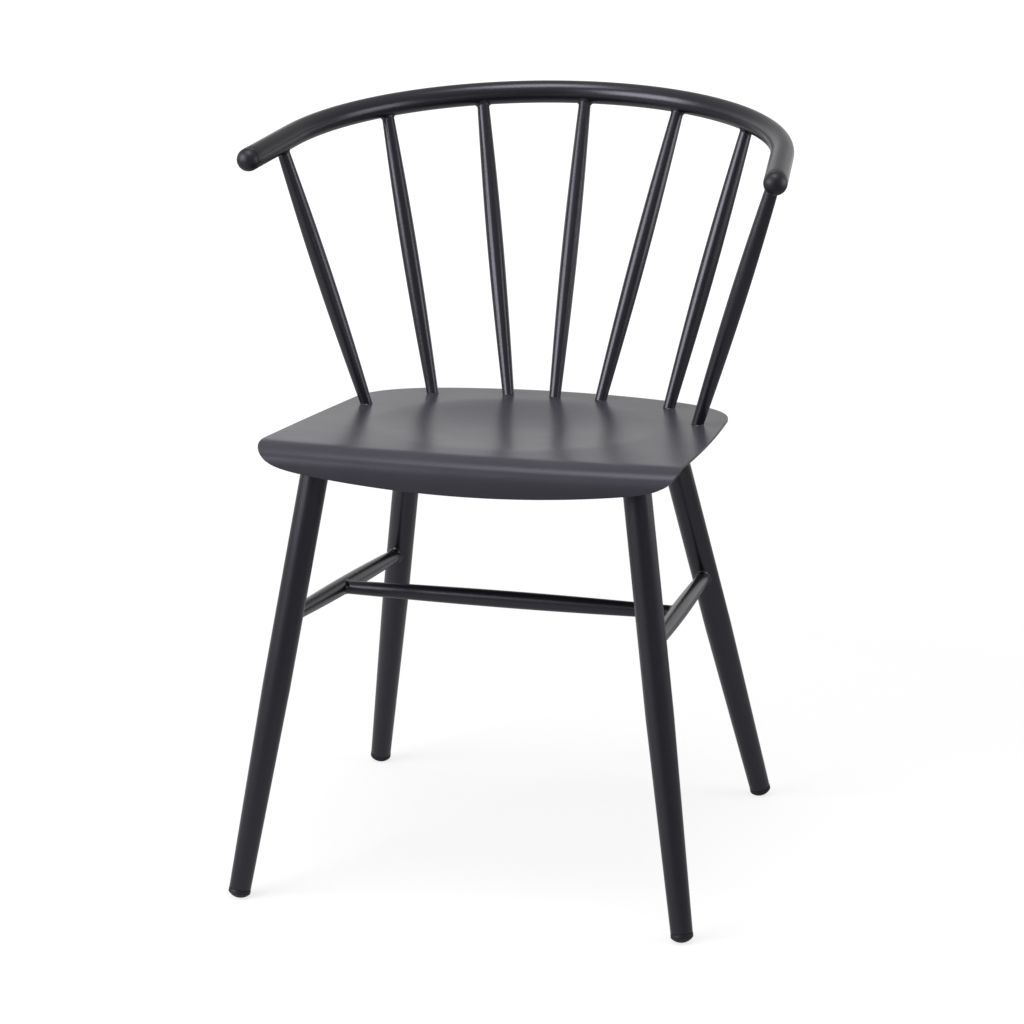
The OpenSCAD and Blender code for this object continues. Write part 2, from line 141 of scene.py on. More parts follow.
def colour(name, default, description):
    """A colour as the shader takes it."""
    return FloatVectorProperty(
        name=name, description=description, default=default, size=3, subtype="COLOR", min=0, max=1)


class ChairSizes(bpy.types.PropertyGroup):
    """Sizes of the chair's pieces, which follow its frame."""

    seat_z: length("Seat height", 448.8 * MM, "Height of the seat's top at the middle of the chair's depth")
    seat_pitch: angle("Seat pitch", 3, "Angle by which the seat falls towards the back")
    seat_sag: length("Seat sag", 1.8 * MM, "Rise of the seat's curve at 200 mm from its middle")
    seat_half_w: length("Seat half width", 210 * MM, "Largest half width of the seat, at its nose")
    seat_draw: length("Seat draw-in", 9.9 * MM, "Amount by which each side draws in towards the back")
    seat_back_y: length("Seat back edge", 156 * MM, "Place of the seat's back edge on the middle line")
    seat_back_bow: length("Seat back curve", 41 * MM, "Depth of the back edge's curve")
    sheet_t: length("Sheet thickness", 3 * MM, "Thickness of the pressed sheet")
    rim_round: length("Rim rounding", 1.1 * MM, "Rounding of the sheet's cut edge")
    dish_half_w: length("Dish half width", 146 * MM, "Half width of the dish")
    dish_half_l: length("Dish half length", 144 * MM, "Half length of the dish")
    dish_y: length("Dish place", -38 * MM, "Place of the dish's middle")
    dish_depth: length("Dish depth", 8 * MM, "Depth of the dish")
    nose_y: length("Nose place", -203.5 * MM, "Place where the seat starts to roll over at the front")
    shoulder_r: length("Shoulder radius", 36 * MM, "Radius of the soft shoulder above the nose")
    shoulder_turn: angle("Shoulder turn", 30, "Angle to which the shoulder turns down")
    nose_r: length("Nose radius", 17 * MM, "Radius of the nose")
    nose_dip: length("Nose dip", 2.4 * MM, "Depth of the nose's middle below its corners")
    nose_soft: length("Nose softness", 7 * MM, "Length over which the nose's bends run into each other")
    skirt_turn: angle("Skirt turn", 104, "Angle of the skirt below the nose")
    skirt_len: length("Skirt length", 56.6 * MM, "Length of sheet from the roll's start to the skirt's edge")
    skirt_rise: length("Skirt rise", 18.3 * MM, "Amount by which the skirt's edge rises towards its corners")

    bow_y: length("Bow place", 250.6 * MM, "Place of the bow's axis at its back")
    bow_z: length("Bow height", 746.9 * MM, "Height of the bow's axis at its back")
    bow_pitch: angle("Bow pitch", 6.2, "Angle by which the bow falls towards its ends")
    bow_r: length("Bow radius", 256.9 * MM, "Radius of the bow's bend")
    bow_turn: angle("Bow half angle", 82.6, "Half angle of the bend")
    arm_len: length("Arm length", 97.5 * MM, "Length of the straight end of each arm")
    bow_d: length("Bow diameter", 23.8 * MM, "Outer diameter of the bow tube")
    bow_wall: length("Bow wall", 2 * MM, "Wall of the bow tube")

    spindle_d: length("Spindle belly", 17.4 * MM, "Diameter of a spindle at its belly")
    spindle_end_d: length("Spindle end", 12.2 * MM, "Diameter of a spindle at its ends")
    stretcher_d: length("Stretcher belly", 17.6 * MM, "Diameter of a stretcher at its middle")
    stretcher_end_d: length("Stretcher end", 13.4 * MM, "Diameter of a stretcher at its ends")
    rail_w: length("Rail width", 24 * MM, "Width of the flat rails under the seat")
    rail_t: length("Rail thickness", 6 * MM, "Thickness of the rails")
    leg_d: length("Leg diameter", 27.8 * MM, "Outer diameter of the leg tube above its taper")
    foot_d: length("Foot diameter", 21.8 * MM, "Outer diameter of the leg tube at the foot")
    leg_wall: length("Leg wall", 1.5 * MM, "Wall of the leg tube")
    glide_dome_r: length("Glide dome", 14 * MM, "Radius of a glide's domed sole")
    glide_seam: length("Glide seam", 4 * MM, "Distance from the dome's centre down to the leg tube's end")
    glide_groove: length("Glide groove", 0.6 * MM, "Height of the groove between a glide and its tube")
    cap_groove: length("Cap groove", 0.7 * MM, "Height of the groove between a cap and its tube")
    weld_leg: length("Weld size", 3.2 * MM, "Leg length of a weld bead at a tube joint")
    weld_foot: length("Seat weld size", 0.9 * MM, "Leg length of the bead at a spindle's foot")


class ChairFinish(bpy.types.PropertyGroup):
    """Colours and surface of the chair's finishes."""

    coat: colour("Powder coat", (0.0068, 0.0065, 0.0088), "Colour of the powder coat on the tubes")
    # The seat's coat is the frame's black powder coat painted about seven times lighter: the added lightness
    # is painted light, standing in for the light on the seat's top and skirt
    seat_coat: colour("Seat coat with painted light", (0.0460, 0.0450, 0.0555), "Colour of the powder coat on the seat")
    coat_tint: colour("Coat tint", (0.87, 0.85, 1.0), "Tint of the powder coat's gloss")
    coat_rough: share("Coat roughness", 0.29, "Roughness of the tubes' powder coat")
    seat_rough: share("Seat roughness", 0.29, "Roughness of the seat's powder coat")
    coat_gloss: share("Coat gloss", 0.68, "Specular level of the tubes' powder coat")
    seat_gloss: share("Seat gloss", 0.25, "Specular level of the seat's powder coat")
    peel: length("Orange peel", 0.9 * MM, "Size of the powder coat's ripples")
    coat_peel: length("Coat peel depth", 0.006 * MM, "Depth of the ripples on the tubes")
    seat_peel: length("Seat peel depth", 0.004 * MM, "Depth of the ripples on the seat")
    plastic: colour("Plastic", (0.0070, 0.0068, 0.0088), "Colour of the caps and the glides")
    cap_rough: share("Cap roughness", 0.45, "Roughness of the bow's caps")
    glide_rough: share("Glide roughness", 0.5, "Roughness of the glides")
    zinc: colour("Zinc", (0.60, 0.61, 0.62), "Colour of the plated studs and nuts")


class ChairStage(bpy.types.PropertyGroup):
    """Camera, floor and room."""

    camera_at: FloatVectorProperty(
        name="Camera place", description="Place of the camera", default=(0.8866, -3.3104, 1.2587), size=3,
        subtype="TRANSLATION", unit="LENGTH")
    azimuth: angle("Azimuth", 15.2, "Direction from which the camera looks, round the chair")
    elevation: angle("Elevation", 14.86, "Angle of the camera above the horizon")
    roll: angle("Roll", 0.07, "Turn of the camera about its own axis")
    lens: FloatProperty(
        name="Lens", description="Focal length on a 36 mm sensor", default=121.65, min=1,
        subtype="DISTANCE_CAMERA")
    floor: colour("Floor", (0.25, 0.25, 0.25), "Colour of the floor under its glow")
    floor_glow: strength("Floor glow", 0.755, "Glow that lifts the floor near the chair to white")
    front_floor: share("Front floor", 0.12, "Share of the glow in reflections of the floor in front")
    front_wall: strength("Front wall", 0.26, "Brightness of the room on the camera's side")
    back_wall: strength("Back wall", 1.2, "Brightness of the room behind the chair")
    ceiling: strength("Ceiling", 0.34, "Brightness of the room above and behind the chair")


def sizes():
    """The chair's sizes as the panel holds them."""
    return bpy.context.scene.chair_sizes


def finish():
    """The chair's finishes as the panel holds them."""
    return bpy.context.scene.chair_finish


# Selecting and placing

def let_go():
    """Leaves edit mode and deselects everything."""
    if bpy.context.object and bpy.context.object.mode != "OBJECT":
        bpy.ops.object.mode_set(mode="OBJECT")
    bpy.ops.object.select_all(action="DESELECT")


def hold(piece):
    """Makes one piece the selected and active one."""
    let_go()
    piece.select_set(True)
    bpy.context.view_layer.objects.active = piece


def edit(piece):
    """Opens a piece in edit mode with everything selected."""
    hold(piece)
    bpy.ops.object.mode_set(mode="EDIT")
    bpy.ops.mesh.select_mode(type="VERT")
    bpy.ops.mesh.select_all(action="SELECT")


def new_piece(name):
    """Names the primitive that was just added."""
    piece = bpy.context.object
    piece.name = piece.data.name = name
    return piece


def settle(piece, place=None):
    """Puts a piece at its place and writes that place into its mesh."""
    if place is not None:
        piece.matrix_world = place
    hold(piece)
    bpy.ops.object.transform_apply(location=True, rotation=True, scale=True)


def face_outwards(piece):
    """Turns all of a closed piece's faces outwards."""
    edit(piece)
    bpy.ops.mesh.normals_make_consistent(inside=False)
    let_go()


def turn_over(piece):
    """Turns all of an open piece's faces over."""
    edit(piece)
    bpy.ops.mesh.flip_normals()
    let_go()


def smooth(piece, degrees):
    """Shades a piece smooth, except over edges sharper than the angle."""
    hold(piece)
    bpy.ops.object.shade_smooth_by_angle(angle=math.radians(degrees))


def apply_modifier(piece, kind, **settings):
    """Adds a modifier with its settings and applies it."""
    hold(piece)
    modifier = piece.modifiers.new(kind.title(), kind)
    for key, value in settings.items():
        setattr(modifier, key, value)
    bpy.ops.object.modifier_apply(modifier=modifier.name)


def mirrored(piece, name, degrees):
    """A copy of a piece on the chair's other side, with its own mesh, shaded like the first."""
    other = piece.copy()
    other.data = piece.data.copy()
    other.name = other.data.name = name
    bpy.context.scene.collection.objects.link(other)
    settle(other, Matrix.Scale(-1, 4, Vector((1, 0, 0))))
    face_outwards(other)
    smooth(other, degrees)
    return other


def finished(piece, slot, material, *nodes):
    """Gives a piece its body and its finish, and hides the frame nodes that it stands for. The slot is not
    used.
    """
    piece.data.materials.clear()
    piece.data.materials.append(material)
    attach(piece, "root")
    if nodes:
        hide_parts(*nodes)


def along(a, b):
    """The place that turns Z to run from one point to another, with its origin at the first."""
    run = (b - a).normalized()
    return Matrix.Translation(a) @ run.to_track_quat("Z", "Y").to_matrix().to_4x4()


def swell(end_d, belly_d, part):
    """Diameter of a swelled tube at a part of its length."""
    return end_d + (belly_d - end_d) * math.sin(math.pi * part)


def turn_rings(name, rings, sides):
    """A round piece drawn from a circle, extruded and resized ring by ring along Z, closed at both ends."""
    let_go()
    radius, height = rings[0]
    bpy.ops.mesh.primitive_circle_add(
        vertices=sides, radius=radius, fill_type="NOTHING", location=(0, 0, height))
    piece = new_piece(name)
    settle(piece)
    edit(piece)
    bpy.ops.mesh.edge_face_add()
    bpy.ops.mesh.select_mode(type="FACE")
    for next_radius, next_height in rings[1:]:
        rise = (0, 0, next_height - height)
        bpy.ops.mesh.extrude_region_move(TRANSFORM_OT_translate={"value": rise})
        grow = next_radius / radius
        bpy.ops.transform.resize(value=(grow, grow, 1), center_override=(0, 0, next_height))
        radius, height = next_radius, next_height
    let_go()
    face_outwards(piece)
    return piece


# Places on the frame

def seat_top(y):
    """Height of the seat's top on its middle line, without the dish."""
    s = sizes()
    return s.seat_z - y * math.tan(s.seat_pitch) + s.seat_sag * (y / SAG_REACH) ** 2


def seat_fall(y):
    """Angle by which the seat falls at a place."""
    s = sizes()
    return math.atan(math.tan(s.seat_pitch) - 2 * s.seat_sag * y / SAG_REACH ** 2)


def dish(x, y):
    """Depth of the dish at a place."""
    s = sizes()
    inside = 1 - (x / s.dish_half_w) ** 2 - ((y - s.dish_y) / s.dish_half_l) ** 2
    return s.dish_depth * max(0, inside) ** 1.5


def seat_height(x, y):
    """Height of the seat's top with its dish."""
    return seat_top(y) - dish(x, y)


def bow_point(side, run):
    """A point of the bow's axis at a distance along it from its back."""
    s = sizes()
    turn = min(run / s.bow_r, s.bow_turn)
    rest = max(0, run - s.bow_r * s.bow_turn)
    x = s.bow_r * math.sin(turn) + rest * math.cos(s.bow_turn)
    y = -s.bow_r * (1 - math.cos(turn)) - rest * math.sin(s.bow_turn)
    return Vector((side * x, s.bow_y + y * math.cos(s.bow_pitch), s.bow_z + y * math.sin(s.bow_pitch)))


def arm_ends(side):
    """Where an arm's straight part starts at the bend, and where it ends."""
    s = sizes()
    bend = s.bow_r * s.bow_turn
    return bow_point(side, bend), bow_point(side, bend + s.arm_len)


def bend_centre():
    """The centre of the bow's bend."""
    s = sizes()
    return Vector((0, s.bow_y - s.bow_r * math.cos(s.bow_pitch), s.bow_z - s.bow_r * math.sin(s.bow_pitch)))


def foot(side, end):
    """Where a leg's axis meets the floor."""
    x, y = FEET[end]
    return Vector((side * x * MM, y * MM, 0))


def leg_top(side, end):
    """Where a leg's axis reaches the seat."""
    x, y = LEG_TOPS[end]
    return Vector((side * x * MM, y * MM, sizes().seat_z))


def on_leg(side, end, z):
    """A point of a leg's axis at a height."""
    return foot(side, end).lerp(leg_top(side, end), z / sizes().seat_z)


def stretcher_end(side, end):
    """Where a side stretcher's axis meets a leg's axis."""
    return on_leg(side, end, STRETCHER_Z[end] * MM)


def cross_end(side):
    """Where the cross stretcher's axis meets a side stretcher's axis."""
    return stretcher_end(side, "front").lerp(stretcher_end(side, "back"), CROSS_PLACE)


def spindle_line(rank):
    """Base on the seat and top on the bow's axis of a right spindle, by its place from the middle."""
    x, y = SPINDLE_BASES[rank]
    x, y = x * MM, y * MM
    return Vector((x, y, seat_height(x, y))), bow_point(RIGHT, SPINDLE_RUNS[rank] * MM)


# Finishes

class Wiring:
    """Adds nodes to one node tree and links them."""

    def __init__(self, tree, space):
        self.nodes, self.links = tree.nodes, tree.links
        self.place = self.nodes.new("ShaderNodeTexCoord").outputs[space]

    def fill(self, node, inputs):
        """Sets a node's inputs, each to a value or to another node's output."""
        for key, value in inputs.items():
            if isinstance(value, bpy.types.NodeSocket):
                self.links.new(value, node.inputs[key])
            else:
                node.inputs[key].default_value = value

    def add(self, kind, inputs, **settings):
        """A new node with its settings and its inputs."""
        node = self.nodes.new(kind)
        for key, value in settings.items():
            setattr(node, key, value)
        self.fill(node, inputs)
        return node

    def noise(self, scale, detail):
        """A noise in features of one over the scale."""
        inputs = {"Vector": self.place, "Scale": scale, "Detail": detail}
        return self.add("ShaderNodeTexNoise", inputs).outputs["Fac"]

    def ramp(self, source, span, results):
        """Maps one range of a value to another, and holds the result at its ends."""
        inputs = {"Value": source, "From Min": span[0], "From Max": span[1]}
        inputs.update({"To Min": results[0], "To Max": results[1]})
        return self.add("ShaderNodeMapRange", inputs).outputs["Result"]

    def reckon(self, operation, first, second):
        """Two values put together by a maths operation."""
        return self.add("ShaderNodeMath", {0: first, 1: second}, operation=operation).outputs[0]

    def part_along(self, direction):
        """How far the place or heading points in a direction."""
        node = self.add("ShaderNodeVectorMath", {0: self.place, 1: direction}, operation="DOT_PRODUCT")
        return node.outputs["Value"]

    def tinted(self, source, dark, light):
        """A colour between two shades that follows a noise."""
        inputs = {"A": (*dark, 1), "B": (*light, 1), "Factor": source}
        return self.add("ShaderNodeMix", inputs, data_type="RGBA").outputs["Result"]

    def shaded(self, source, base, change):
        """A colour that follows a noise, darker and lighter than its base by a share."""
        return self.tinted(source, [c * (1 - change) for c in base], [c * (1 + change) for c in base])

    def clouded(self, source, value, change):
        """A value that follows a noise, less and more than its middle by an amount."""
        return self.ramp(source, NOISE_SPAN, (value - change, value + change))

    def bump(self, height, depth, under=None):
        """A normal that follows a height, laid over another normal if there is one."""
        inputs = {"Strength": 1, "Distance": depth, "Height": height}
        if under is not None:
            inputs["Normal"] = under
        return self.add("ShaderNodeBump", inputs).outputs["Normal"]


def new_material(name):
    """A new material, its wiring and its shader."""
    material = bpy.data.materials.new(name)
    material.use_nodes = True
    tree = material.node_tree
    return material, Wiring(tree, "Object"), tree.nodes["Principled BSDF"]


def coated_finish(name, base, roughness, specular, ripple, depth):
    """Powder coat: fine ripples, slow changes of gloss and a trace of colour change.

    A roughness that falls below 0.275 in places shows as marks after denoising.
    """
    material, tree, shader = new_material(name)
    clouds = tree.noise(*COAT_CLOUDS)
    peel = tree.bump(tree.noise(1 / ripple, 3), depth)
    tree.fill(shader, {
        "Base Color": tree.shaded(clouds, base, 0.1),
        "Roughness": tree.clouded(clouds, roughness, 0.012),
        "Specular IOR Level": specular,
        "Specular Tint": (*finish().coat_tint, 1),
        "Normal": tree.bump(tree.noise(5 / ripple, 1), depth * 0.12, peel),
    })
    return material


def moulded_finish(name, base, roughness):
    """Moulded plastic: an even fine texture and slow changes of gloss."""
    material, tree, shader = new_material(name)
    clouds = tree.noise(*PLASTIC_CLOUDS)
    tree.fill(shader, {
        "Base Color": tree.shaded(clouds, base, 0.2),
        "Roughness": tree.clouded(clouds, roughness, 0.04),
        "Specular Tint": (*finish().coat_tint, 1),
        "Normal": tree.bump(tree.noise(*PLASTIC_GRAIN), 0.01 * MM),
    })
    return material


def plated_finish(name, base):
    """Zinc plate: a bright grey metal with cloudy gloss and faint yellow and blue patches."""
    material, tree, shader = new_material(name)
    clouds = tree.noise(*ZINC_CLOUDS)
    warm = (base[0], base[1] * 0.96, base[2] * 0.86)
    cool = (base[0] * 0.86, base[1] * 0.92, base[2])
    tree.fill(shader, {
        "Base Color": tree.tinted(clouds, warm, cool),
        "Roughness": tree.clouded(clouds, 0.39, 0.09),
        "Metallic": 1,
        "Normal": tree.bump(tree.noise(*ZINC_GRAIN), 0.008 * MM),
    })
    return material


def finish_named(name):
    """The finish of that name, made the first time that it is asked for."""
    if name in bpy.data.materials:
        return bpy.data.materials[name]
    f = finish()
    if name == "Frame_powder_coat":
        return coated_finish(name, f.coat, f.coat_rough, f.coat_gloss, f.peel, f.coat_peel)
    # The seat's finish is the black coat with painted light: its colour is made lighter to stand in for the
    # light that falls on the seat
    if name == "Sheet_coat_with_painted_light":
        return coated_finish(name, f.seat_coat, f.seat_rough, f.seat_gloss, f.peel * 1.2, f.seat_peel)
    if name == "Cap_plastic":
        return moulded_finish(name, f.plastic, f.cap_rough)
    if name == "Glide_plastic":
        return moulded_finish(name, f.plastic, f.glide_rough)
    if name == "Zinc_plate":
        return plated_finish(name, f.zinc)
    raise ValueError(f"no finish is named {name}")


# Seat

def sheet_run(run):
    """Place and height of the sheet at a length past the start of the nose; a negative length is on top."""
    s = sizes()
    if run < 0:
        y = s.nose_y - run
        return y, seat_top(y)
    start = -seat_fall(s.nose_y)
    shoulder = s.shoulder_r * (s.shoulder_turn - start)
    roll = s.nose_r * (s.skirt_turn - s.shoulder_turn)
    if run < shoulder:
        turn = start + run / s.shoulder_r
    elif run < shoulder + roll:
        turn = s.shoulder_turn + (run - shoulder) / s.nose_r
    else:
        turn = s.skirt_turn
    y, z = s.nose_y, seat_top(s.nose_y)
    soft = min(turn, s.shoulder_turn)
    y -= s.shoulder_r * (math.sin(soft) - math.sin(start))
    z -= s.shoulder_r * (math.cos(start) - math.cos(soft))
    tight = max(turn, s.shoulder_turn)
    y -= s.nose_r * (math.sin(tight) - math.sin(s.shoulder_turn))
    z -= s.nose_r * (math.cos(s.shoulder_turn) - math.cos(tight))
    rest = max(0, run - shoulder - roll)
    return y - rest * math.cos(s.skirt_turn), z - rest * math.sin(s.skirt_turn)


def soft_run(run):
    """The same place and height, with the nose's bends run softly into each other."""
    step = sizes().nose_soft / SOFT_STEPS
    near = [sheet_run(run + i * step) for i in range(-SOFT_STEPS, SOFT_STEPS + 1)]
    return sum(y for y, _ in near) / len(near), sum(z for _, z in near) / len(near)


def corner_cut(part, reach, square):
    """Length that a rounded corner cuts off an edge, at a part of the seat's half width."""
    return reach * (1 - math.sqrt(max(0, 1 - part ** square)))


def edge_runs(across):
    """Lengths past the start of the nose of the sheet's back and front edges, at a part of its half width."""
    s = sizes()
    w = abs(across)
    back = s.seat_back_y - s.seat_back_bow * w * w - corner_cut(w, BACK_CORNER, BACK_SQUARE)
    front = s.skirt_len - s.skirt_rise * w * w - corner_cut(w, FRONT_CORNER, FRONT_SQUARE)
    return s.nose_y - back, front


def sheet_point(across, run):
    """A point of the seat's top side."""
    s = sizes()
    y, z = soft_run(run) if run > -s.nose_soft else sheet_run(run)
    x = across * (s.seat_half_w - s.seat_draw * (max(0, y - DRAW_START) / DRAW_REACH) ** 2)
    dip = s.nose_dip * (1 - across ** 2) * min(1, max(0, DIP_START - y) / DIP_REACH) ** 2
    return Vector((x, y, z - dish(x, y) - dip))


class CHAIR_OT_seat(bpy.types.Operator):
    """Models the pressed seat: a dished sheet with a rolled nose and a rounded cut edge"""

    bl_idname = "chair.seat"
    bl_label = "Seat"

    def execute(self, context):
        s = sizes()
        rows = TOP_ROWS + NOSE_ROWS
        let_go()
        bpy.ops.mesh.primitive_grid_add(x_subdivisions=SEAT_COLUMNS, y_subdivisions=rows, size=2)
        seat = new_piece("Pressed_seat_sheet")
        for point in seat.data.vertices:
            i = round((point.co.x + 1) / 2 * SEAT_COLUMNS)
            j = round((point.co.y + 1) / 2 * rows)
            across = math.sin(math.pi * (i / SEAT_COLUMNS - 0.5))
            back, front = edge_runs(across)
            split = min(0, front - NOSE_EDGE)
            if j < NOSE_ROWS:
                run = front + (split - front) * j / NOSE_ROWS
            else:
                run = split + (back - split) * (j - NOSE_ROWS) / TOP_ROWS
            point.co = sheet_point(across, run)
        face_outwards(seat)
        top = Vector((0, 0, s.seat_z))
        middle = min(seat.data.polygons, key=lambda face: (face.center - top).length)
        if middle.normal.z < 0:
            turn_over(seat)
        apply_modifier(seat, "SOLIDIFY", thickness=s.sheet_t, offset=-1, use_even_offset=True)
        apply_modifier(
            seat, "BEVEL", width=s.rim_round, segments=4, limit_method="ANGLE", angle_limit=math.radians(60))
        face_outwards(seat)
        smooth(seat, 40)
        # The seat gets the lighter coat, whose colour carries painted light
        finished(seat, "seat_coat", finish_named("Sheet_coat_with_painted_light"), "seat_shell")
        return {"FINISHED"}


# Swelled tubes

def swelled_tube(name, a, b, end_d, belly_d, start, stop):
    """A tube that swells towards the middle of its line, drawn between two parts of its length."""
    span = (b - a).length
    parts = [start + (stop - start) * i / TUBE_RINGS for i in range(TUBE_RINGS + 1)]
    tube = turn_rings(name, [(swell(end_d, belly_d, t) / 2, t * span) for t in parts], TUBE_SIDES)
    settle(tube, along(a, b))
    smooth(tube, 40)
    return tube


class CHAIR_OT_spindles(bpy.types.Operator):
    """Models the seven swelled spindles between the seat and the bow"""

    bl_idname = "chair.spindles"
    bl_label = "Spindles"

    def execute(self, context):
        s = sizes()
        coat = finish_named("Frame_powder_coat")
        for rank in range(4):
            base, top = spindle_line(rank)
            span = (top - base).length
            start = -SPINDLE_SINK / span
            stop = 1 - (s.bow_d / 2 - s.bow_wall * WALL_SHARE) / span
            name = f"Spindle_{4 + rank}_tube"
            right = swelled_tube(name, base, top, s.spindle_end_d, s.spindle_d, start, stop)
            if rank:
                left = mirrored(right, f"Spindle_{4 - rank}_tube", 40)
                finished(left, "frame_coat", coat, f"spindle_{4 - rank}")
            finished(right, "frame_coat", coat, f"spindle_{4 + rank}")
        return {"FINISHED"}


class CHAIR_OT_stretchers(bpy.types.Operator):
    """Models the two side stretchers and the cross stretcher"""

    bl_idname = "chair.stretchers"
    bl_label = "Stretchers"

    def execute(self, context):
        s = sizes()
        coat = finish_named("Frame_powder_coat")
        thick = s.stretcher_end_d, s.stretcher_d
        a, b = stretcher_end(RIGHT, "front"), stretcher_end(RIGHT, "back")
        inside = (s.leg_d / 2 - s.leg_wall * WALL_SHARE) / (b - a).length
        right = swelled_tube("Side_stretcher_right_tube", a, b, *thick, inside, 1 - inside)
        left = mirrored(right, "Side_stretcher_left_tube", 40)
        finished(right, "frame_coat", coat, "side_stretcher_right")
        finished(left, "frame_coat", coat, "side_stretcher_left")
        a, b = cross_end(LEFT), cross_end(RIGHT)
        inside = CROSS_INSET / (b - a).length
        cross = swelled_tube("Cross_stretcher_tube", a, b, *thick, inside, 1 - inside)
        finished(cross, "frame_coat", coat, "cross_stretcher")
        return {"FINISHED"}


# Bow

def draw_arm(step):
    """Extends the open tube that is being edited by a number of equal steps."""
    for _ in range(ARM_STEPS):
        bpy.ops.mesh.extrude_region_move(TRANSFORM_OT_translate={"value": step / ARM_STEPS})


class CHAIR_OT_bow(bpy.types.Operator):
    """Models the bent bow tube with its rounded open ends"""

    bl_idname = "chair.bow"
    bl_label = "Bow"

    def execute(self, context):
        s = sizes()
        bend_end, end = arm_ends(RIGHT)
        left_bend, left_end = arm_ends(LEFT)
        axis = Vector((0, -math.sin(s.bow_pitch), math.cos(s.bow_pitch)))
        let_go()
        bpy.ops.mesh.primitive_circle_add(
            vertices=BOW_SIDES, radius=s.bow_d / 2 - BOW_EASE, fill_type="NOTHING")
        bow = new_piece("Bow_bent_tube")
        settle(bow, along(end, bend_end))
        edit(bow)
        draw_arm(bend_end - end)
        bpy.ops.mesh.spin(steps=BEND_STEPS, angle=-2 * s.bow_turn, center=bend_centre(), axis=axis)
        draw_arm(left_end - left_bend)
        bpy.ops.mesh.select_all(action="SELECT")
        bpy.ops.mesh.remove_doubles(threshold=0.01 * MM)
        bpy.ops.mesh.normals_make_consistent(inside=False)
        let_go()
        face = bow.data.polygons[0]
        line = (bend_end - end).normalized()
        out = (face.center - end) - (face.center - end).dot(line) * line
        if face.normal.dot(out) < 0:
            turn_over(bow)
        top = max(point.co.z for point in bow.data.vertices)
        if abs(top - (s.bow_z + s.bow_d / 2 * math.cos(s.bow_pitch))) > BEND_CHECK:
            raise RuntimeError("the bow's bend went the wrong way")
        apply_modifier(bow, "SOLIDIFY", thickness=s.bow_wall, offset=-1)
        apply_modifier(
            bow, "BEVEL", width=BOW_RIM, segments=3, limit_method="ANGLE", angle_limit=math.radians(50))
        smooth(bow, 40)
        finished(bow, "frame_coat", finish_named("Frame_powder_coat"), "bow_tube")
        return {"FINISHED"}


class CHAIR_OT_caps(bpy.types.Operator):
    """Models the ball caps at the bow's ends, each with a groove under its rim"""

    bl_idname = "chair.caps"
    bl_label = "Bow caps"

    def execute(self, context):
        s = sizes()
        radius = s.bow_d / 2
        plug, neck, ball = radius - s.bow_wall - PLUG_PLAY, radius - NECK_DEPTH, radius - 0.1 * MM
        rim = s.cap_groove + 0.3 * MM
        rise = radius + 0.15 * MM - rim
        rings = [(plug, -PLUG_LEN), (plug, -0.2 * MM), (neck, -0.05 * MM), (neck, s.cap_groove)]
        rings += [(radius - 0.35 * MM, s.cap_groove + 0.05 * MM), (ball, rim)]
        for i in range(1, CAP_STEPS + 1):
            turn = math.pi / 2 * i / CAP_STEPS
            rings.append((max(ball * math.cos(turn), CAP_POLE), rim + rise * math.sin(turn)))
        right = turn_rings("Bow_cap_right_ball", rings, PLUG_SIDES)
        inside, end = arm_ends(RIGHT)
        settle(right, along(end, end + (end - inside)))
        smooth(right, 40)
        left = mirrored(right, "Bow_cap_left_ball", 40)
        for side, cap in (("left", left), ("right", right)):
            finished(cap, "cap_plastic", finish_named("Cap_plastic"), f"bow_cap_{side}")
        return {"FINISHED"}


class CHAIR_OT_glides(bpy.types.Operator):
    """Models the domed floor glides, each with a lip and a groove under the leg tube"""

    bl_idname = "chair.glides"
    bl_label = "Glides"

    def execute(self, context):
        s = sizes()
        radius = s.foot_d / 2
        head, plug = radius + GLIDE_LIP, radius - s.leg_wall - PLUG_PLAY
        neck = head - NECK_DEPTH
        seam = -s.glide_seam
        lip = seam - s.glide_groove
        edge = math.acos(head / s.glide_dome_r)
        rings = []
        for i in range(DOME_STEPS + 1):
            turn = math.pi / 2 - (math.pi / 2 - edge) * i / DOME_STEPS
            width = max(s.glide_dome_r * math.cos(turn), DOME_POLE)
            rings.append((width, -s.glide_dome_r * math.sin(turn)))
        rings += [(head, lip - 0.5 * MM), (head - 0.15 * MM, lip - 0.15 * MM), (head - 0.5 * MM, lip)]
        rings += [(neck, lip), (neck, seam + 0.05 * MM), (plug, seam + 0.1 * MM), (plug, seam + PLUG_LEN)]
        for end in ("front", "back"):
            right = turn_rings(f"Glide_{end}_right_dome", rings, PLUG_SIDES)
            settle(right, along(on_leg(RIGHT, end, DOME_Z), leg_top(RIGHT, end)))
            edit(right)
            bpy.ops.mesh.bisect(
                plane_co=(0, 0, SOLE_Z), plane_no=(0, 0, 1), clear_inner=True, use_fill=True, threshold=1e-6)
            let_go()
            face_outwards(right)
            smooth(right, 30)
            left = mirrored(right, f"Glide_{end}_left_dome", 30)
            for side, glide in (("left", left), ("right", right)):
                finished(glide, "glide_plastic", finish_named("Glide_plastic"), f"glide_{end}_{side}")
        return {"FINISHED"}


# Welds

def swelled_radius(end_d, belly_d, span, skip=0):
    """Radius of a swelled tube as a function of the distance along it, past a length that is skipped."""
    return lambda run: swell(end_d, belly_d, max(0, run - skip) / span) / 2


def tube_surface(a, b, radius):
    """Signed distance from a tube's surface, as a function of a point."""
    run = (b - a).normalized()

    def distance(point):
        across = (point - a) - (point - a).dot(run) * run
        return across.length - radius(min(max((point - a).dot(run), 0), (b - a).length))
    return distance


